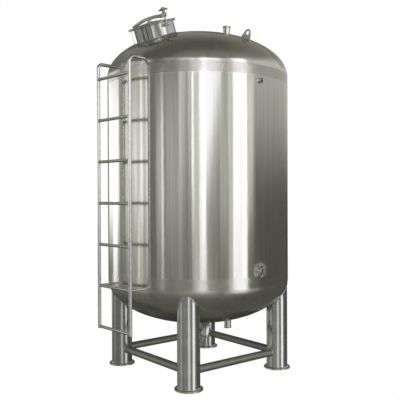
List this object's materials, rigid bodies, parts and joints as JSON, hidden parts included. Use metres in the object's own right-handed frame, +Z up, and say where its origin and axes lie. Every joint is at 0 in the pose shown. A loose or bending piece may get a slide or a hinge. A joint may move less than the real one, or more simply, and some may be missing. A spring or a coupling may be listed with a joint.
{
  "type": "stainless steel storage tank",
  "caption": "Upright stainless steel storage tank: rolled shell with dished ends on braced tubular legs, with a side ladder and a tilted manway whose clamped lid swings open.",
  "frame": {"origin": "on the floor, under the middle of the whole tank's footprint with its ladder", "axes": "+Z up the tank, -X towards the ladder and manway, -Y towards the level ports"},
  "size_m": [1.7391, 1.622, 3.0537],
  "materials": {
    "polished_steel": "finely brushed, nearly mirror bright",
    "bright_steel": "polished tube",
    "satin_steel": "satin, pickled at the welds",
    "seal": "smooth white silicone"
  },
  "bodies": {
    "tank": {"shell": "polished_steel", "top_head": "polished_steel", "bottom_head": "polished_steel", "leg_front_left": "bright_steel", "leg_front_right": "bright_steel", "leg_rear_left": "bright_steel", "leg_rear_right": "bright_steel", "foot_plate_front_left": "satin_steel", "foot_plate_front_right": "satin_steel", "foot_plate_rear_left": "satin_steel", "foot_plate_rear_right": "satin_steel", "brace_front": "satin_steel", "brace_rear": "satin_steel", "brace_left": "satin_steel", "brace_right": "satin_steel", "ladder_stile_front": "bright_steel", "ladder_stile_rear": "bright_steel", "ladder_standoff_front": "satin_steel", "ladder_standoff_rear": "satin_steel", "ladder_rung_1": "bright_steel", "ladder_rung_2": "bright_steel", "ladder_rung_3": "bright_steel", "ladder_rung_4": "bright_steel", "ladder_rung_5": "bright_steel", "ladder_rung_6": "bright_steel", "ladder_rung_7": "bright_steel", "manway_neck": "bright_steel", "manway_flange": "satin_steel", "manway_gasket": "seal", "hinge_bracket": "satin_steel", "hinge_pin": "bright_steel", "bolt_lug": "satin_steel", "bolt_pin": "bright_steel", "top_nozzle": "satin_steel", "bottom_outlet": "satin_steel", "upper_port": "satin_steel", "lower_port": "satin_steel", "lower_port_pad": "satin_steel", "lifting_lug_front": "satin_steel", "lifting_lug_rear": "satin_steel"},
    "cover": {"manway_lid": "polished_steel", "cover_arm": "satin_steel", "cover_boss": "satin_steel"},
    "swing_bolt_body": {"swing_bolt": "bright_steel"},
    "wheel": {"handwheel": "bright_steel"}
  },
  "joints": [
    {"name": "cover_hinge", "type": "hinge", "parent": "tank", "child": "cover", "pos_m": [-0.44147, 0.25123, 3.00453], "axis": [-0.9376, 0.0739, -0.3397], "range_deg": [0, 110]},
    {"name": "bolt_swing", "type": "hinge", "parent": "tank", "child": "swing_bolt_body", "pos_m": [-0.45073, -0.24278, 2.92256], "axis": [0.9376, -0.0739, 0.3397], "range_deg": [0, 100]},
    {"name": "handwheel_turn", "type": "hinge", "parent": "swing_bolt_body", "child": "wheel", "pos_m": [-0.49077, -0.24558, 3.03246], "axis": [-0.3422, -0.0239, 0.9393], "continuous": true}
  ]
}
